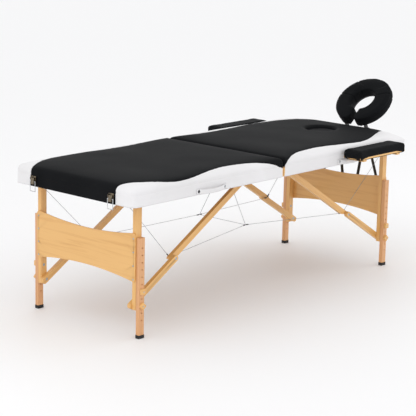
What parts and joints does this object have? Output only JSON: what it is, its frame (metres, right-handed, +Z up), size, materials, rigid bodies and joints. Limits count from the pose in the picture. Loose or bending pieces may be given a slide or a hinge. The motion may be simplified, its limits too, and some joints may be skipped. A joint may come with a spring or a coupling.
{
  "type": "massage table",
  "caption": "Folding two-section padded massage table on height-adjustable wooden legs with end boards, knee braces, face cradle, armrests and arm sling.",
  "frame": {"origin": "on the floor, under the middle of the whole object's length and width", "axes": "+X towards the headrest, +Y towards the far side, +Z up"},
  "size_m": [2.1245, 0.928, 0.8497],
  "materials": {
    "pine": "clear lacquered pine",
    "plywood": "clear lacquered plywood",
    "deck_board": "plain plywood",
    "top_vinyl": "black and white upholstery vinyl",
    "black_vinyl": "black upholstery vinyl",
    "white_strap": "white vinyl strap",
    "black_webbing": "black woven webbing",
    "zinc_steel": "zinc-plated steel",
    "latch_steel": "nickel-plated steel",
    "wire_rope": "galvanised steel rope",
    "black_metal": "black powder coat",
    "black_plastic": "black moulded plastic",
    "black_rubber": "black rubber"
  },
  "bodies": {
    "foot_section": {"foot_frame": "pine", "foot_deck": "deck_board", "foot_cushion": "top_vinyl", "foot_pivot_brackets": "zinc_steel", "foot_pivot_pins": "zinc_steel", "foot_hinge_leaves": "zinc_steel", "foot_handle": "white_strap", "latch_bases": "latch_steel"},
    "fold_centre": {"hinge_pins": "zinc_steel", "support_cables": "wire_rope"},
    "head_section": {"head_frame": "pine", "head_deck": "deck_board", "head_cushion": "top_vinyl", "head_pivot_brackets": "zinc_steel", "head_pivot_pins": "zinc_steel", "head_hinge_leaves": "zinc_steel", "head_handle": "white_strap", "latch_keepers": "latch_steel"},
    "face_plug": {"face_plug": "top_vinyl"},
    "headrest_frame": {"headrest_frame": "black_metal", "arm_sling": "black_webbing"},
    "headrest_top": {"headrest_platform": "black_plastic", "headrest_cushion": "black_vinyl"},
    "cam_lever": {"headrest_cam_lever": "black_plastic"},
    "near_armrest": {"near_armrest_pad": "black_vinyl", "near_armrest_board": "pine"},
    "far_armrest": {"far_armrest_pad": "black_vinyl", "far_armrest_board": "pine"},
    "latch_levers": {"latch_levers": "latch_steel"},
    "latch_bails": {"latch_bails": "latch_steel"},
    "foot_legs": {"foot_upper_legs": "pine", "foot_end_panel": "plywood", "foot_panel_screws": "zinc_steel", "foot_leg_bolts": "zinc_steel"},
    "foot_lower_braces": {"foot_lower_braces": "pine", "foot_knee_bolts": "zinc_steel"},
    "foot_upper_braces": {"foot_upper_braces": "pine"},
    "foot_near_lower_leg": {"foot_near_lower_leg": "pine", "foot_near_rubber_foot": "black_rubber"},
    "foot_near_upper_knob": {"foot_near_upper_knob": "pine"},
    "foot_near_lower_knob": {"foot_near_lower_knob": "pine"},
    "foot_far_lower_leg": {"foot_far_lower_leg": "pine", "foot_far_rubber_foot": "black_rubber"},
    "foot_far_upper_knob": {"foot_far_upper_knob": "pine"},
    "foot_far_lower_knob": {"foot_far_lower_knob": "pine"},
    "head_legs": {"head_upper_legs": "pine", "head_end_panel": "plywood", "head_panel_screws": "zinc_steel", "head_leg_bolts": "zinc_steel"},
    "head_lower_braces": {"head_lower_braces": "pine", "head_knee_bolts": "zinc_steel"},
    "head_upper_braces": {"head_upper_braces": "pine"},
    "head_near_lower_leg": {"head_near_lower_leg": "pine", "head_near_rubber_foot": "black_rubber"},
    "head_near_upper_knob": {"head_near_upper_knob": "pine"},
    "head_near_lower_knob": {"head_near_lower_knob": "pine"},
    "head_far_lower_leg": {"head_far_lower_leg": "pine", "head_far_rubber_foot": "black_rubber"},
    "head_far_upper_knob": {"head_far_upper_knob": "pine"},
    "head_far_lower_knob": {"head_far_lower_knob": "pine"}
  },
  "joints": [
    {"name": "fold_first_half", "type": "hinge", "parent": "foot_section", "child": "fold_centre", "pos_m": [-0.12127, 0, 0.5525], "axis": [0, 1, 0], "range_deg": [0, 90], "deforming": ["support_cables"]},
    {"name": "fold_second_half", "type": "hinge", "parent": "fold_centre", "child": "head_section", "pos_m": [-0.12127, 0, 0.5525], "axis": [0, 1, 0], "range_deg": [0, 90]},
    {"name": "foot_leg_fold", "type": "hinge", "parent": "foot_section", "child": "foot_legs", "pos_m": [-0.95727, 0, 0.579], "axis": [0, -1, 0], "range_deg": [0, 90]},
    {"name": "foot_lower_brace", "type": "hinge", "parent": "foot_legs", "child": "foot_lower_braces", "pos_m": [-0.95727, 0, 0.136], "axis": [0, -1, 0], "range_deg": [0, 58.96]},
    {"name": "foot_upper_brace", "type": "hinge", "parent": "foot_section", "child": "foot_upper_braces", "pos_m": [-0.22127, 0, 0.579], "axis": [0, 1, 0], "range_deg": [0, 31.04]},
    {"name": "foot_near_height", "type": "slide", "parent": "foot_legs", "child": "foot_near_lower_leg", "axis": [0, 0, 1], "range_m": [-0.12, 0.06]},
    {"name": "foot_near_upper_knob_turn", "type": "hinge", "parent": "foot_legs", "child": "foot_near_upper_knob", "pos_m": [-0.95727, -0.311, 0.196], "axis": [0, -1, 0], "continuous": true},
    {"name": "foot_near_lower_knob_turn", "type": "hinge", "parent": "foot_legs", "child": "foot_near_lower_knob", "pos_m": [-0.95727, -0.311, 0.136], "axis": [0, -1, 0], "continuous": true},
    {"name": "foot_far_height", "type": "slide", "parent": "foot_legs", "child": "foot_far_lower_leg", "axis": [0, 0, 1], "range_m": [-0.12, 0.06]},
    {"name": "foot_far_upper_knob_turn", "type": "hinge", "parent": "foot_legs", "child": "foot_far_upper_knob", "pos_m": [-0.95727, 0.311, 0.196], "axis": [0, 1, 0], "continuous": true},
    {"name": "foot_far_lower_knob_turn", "type": "hinge", "parent": "foot_legs", "child": "foot_far_lower_knob", "pos_m": [-0.95727, 0.311, 0.136], "axis": [0, 1, 0], "continuous": true},
    {"name": "head_leg_fold", "type": "hinge", "parent": "head_section", "child": "head_legs", "pos_m": [0.71473, 0, 0.579], "axis": [0, 1, 0], "range_deg": [0, 90]},
    {"name": "head_lower_brace", "type": "hinge", "parent": "head_legs", "child": "head_lower_braces", "pos_m": [0.71473, 0, 0.136], "axis": [0, 1, 0], "range_deg": [0, 58.96]},
    {"name": "head_upper_brace", "type": "hinge", "parent": "head_section", "child": "head_upper_braces", "pos_m": [-0.02127, 0, 0.579], "axis": [0, -1, 0], "range_deg": [0, 31.04]},
    {"name": "head_near_height", "type": "slide", "parent": "head_legs", "child": "head_near_lower_leg", "axis": [0, 0, 1], "range_m": [-0.12, 0.06]},
    {"name": "head_near_upper_knob_turn", "type": "hinge", "parent": "head_legs", "child": "head_near_upper_knob", "pos_m": [0.71473, -0.311, 0.196], "axis": [0, -1, 0], "continuous": true},
    {"name": "head_near_lower_knob_turn", "type": "hinge", "parent": "head_legs", "child": "head_near_lower_knob", "pos_m": [0.71473, -0.311, 0.136], "axis": [0, -1, 0], "continuous": true},
    {"name": "head_far_height", "type": "slide", "parent": "head_legs", "child": "head_far_lower_leg", "axis": [0, 0, 1], "range_m": [-0.12, 0.06]},
    {"name": "head_far_upper_knob_turn", "type": "hinge", "parent": "head_legs", "child": "head_far_upper_knob", "pos_m": [0.71473, 0.311, 0.196], "axis": [0, 1, 0], "continuous": true},
    {"name": "head_far_lower_knob_turn", "type": "hinge", "parent": "head_legs", "child": "head_far_lower_knob", "pos_m": [0.71473, 0.311, 0.136], "axis": [0, 1, 0], "continuous": true},
    {"name": "face_plug_lift", "type": "slide", "parent": "head_section", "child": "face_plug", "axis": [0, 0, 1], "range_m": [0, 0.08]},
    {"name": "headrest_slide", "type": "slide", "parent": "head_section", "child": "headrest_frame", "axis": [1, 0, 0], "range_m": [0, 0.1]},
    {"name": "headrest_tilt", "type": "hinge", "parent": "headrest_frame", "child": "headrest_top", "pos_m": [0.87873, 0, 0.612], "axis": [0, 1, 0], "range_deg": [0, 40]},
    {"name": "cam_lever_turn", "type": "hinge", "parent": "headrest_frame", "child": "cam_lever", "pos_m": [0.87873, 0, 0.612], "axis": [0, 1, 0], "range_deg": [0, 90]},
    {"name": "near_armrest_slide", "type": "slide", "parent": "head_section", "child": "near_armrest", "axis": [0, -1, 0], "range_m": [0, 0.06]},
    {"name": "far_armrest_slide", "type": "slide", "parent": "head_section", "child": "far_armrest", "axis": [0, 1, 0], "range_m": [0, 0.06]},
    {"name": "latch_lever_turn", "type": "hinge", "parent": "foot_section", "child": "latch_levers", "pos_m": [-1.05827, 0, 0.591], "axis": [0, 1, 0], "range_deg": [0, 110]},
    {"name": "latch_bail_swing", "type": "hinge", "parent": "latch_levers", "child": "latch_bails", "pos_m": [-1.05827, 0, 0.579], "axis": [0, 1, 0], "range_deg": [-5, 60]}
  ],
  "couplings": [
    {"joint": "foot_lower_brace", "follows": "foot_leg_fold", "ratio": 0.65507},
    {"joint": "foot_upper_brace", "follows": "foot_leg_fold", "ratio": 0.34493},
    {"joint": "head_lower_brace", "follows": "head_leg_fold", "ratio": 0.65507},
    {"joint": "head_upper_brace", "follows": "head_leg_fold", "ratio": 0.34493}
  ]
}
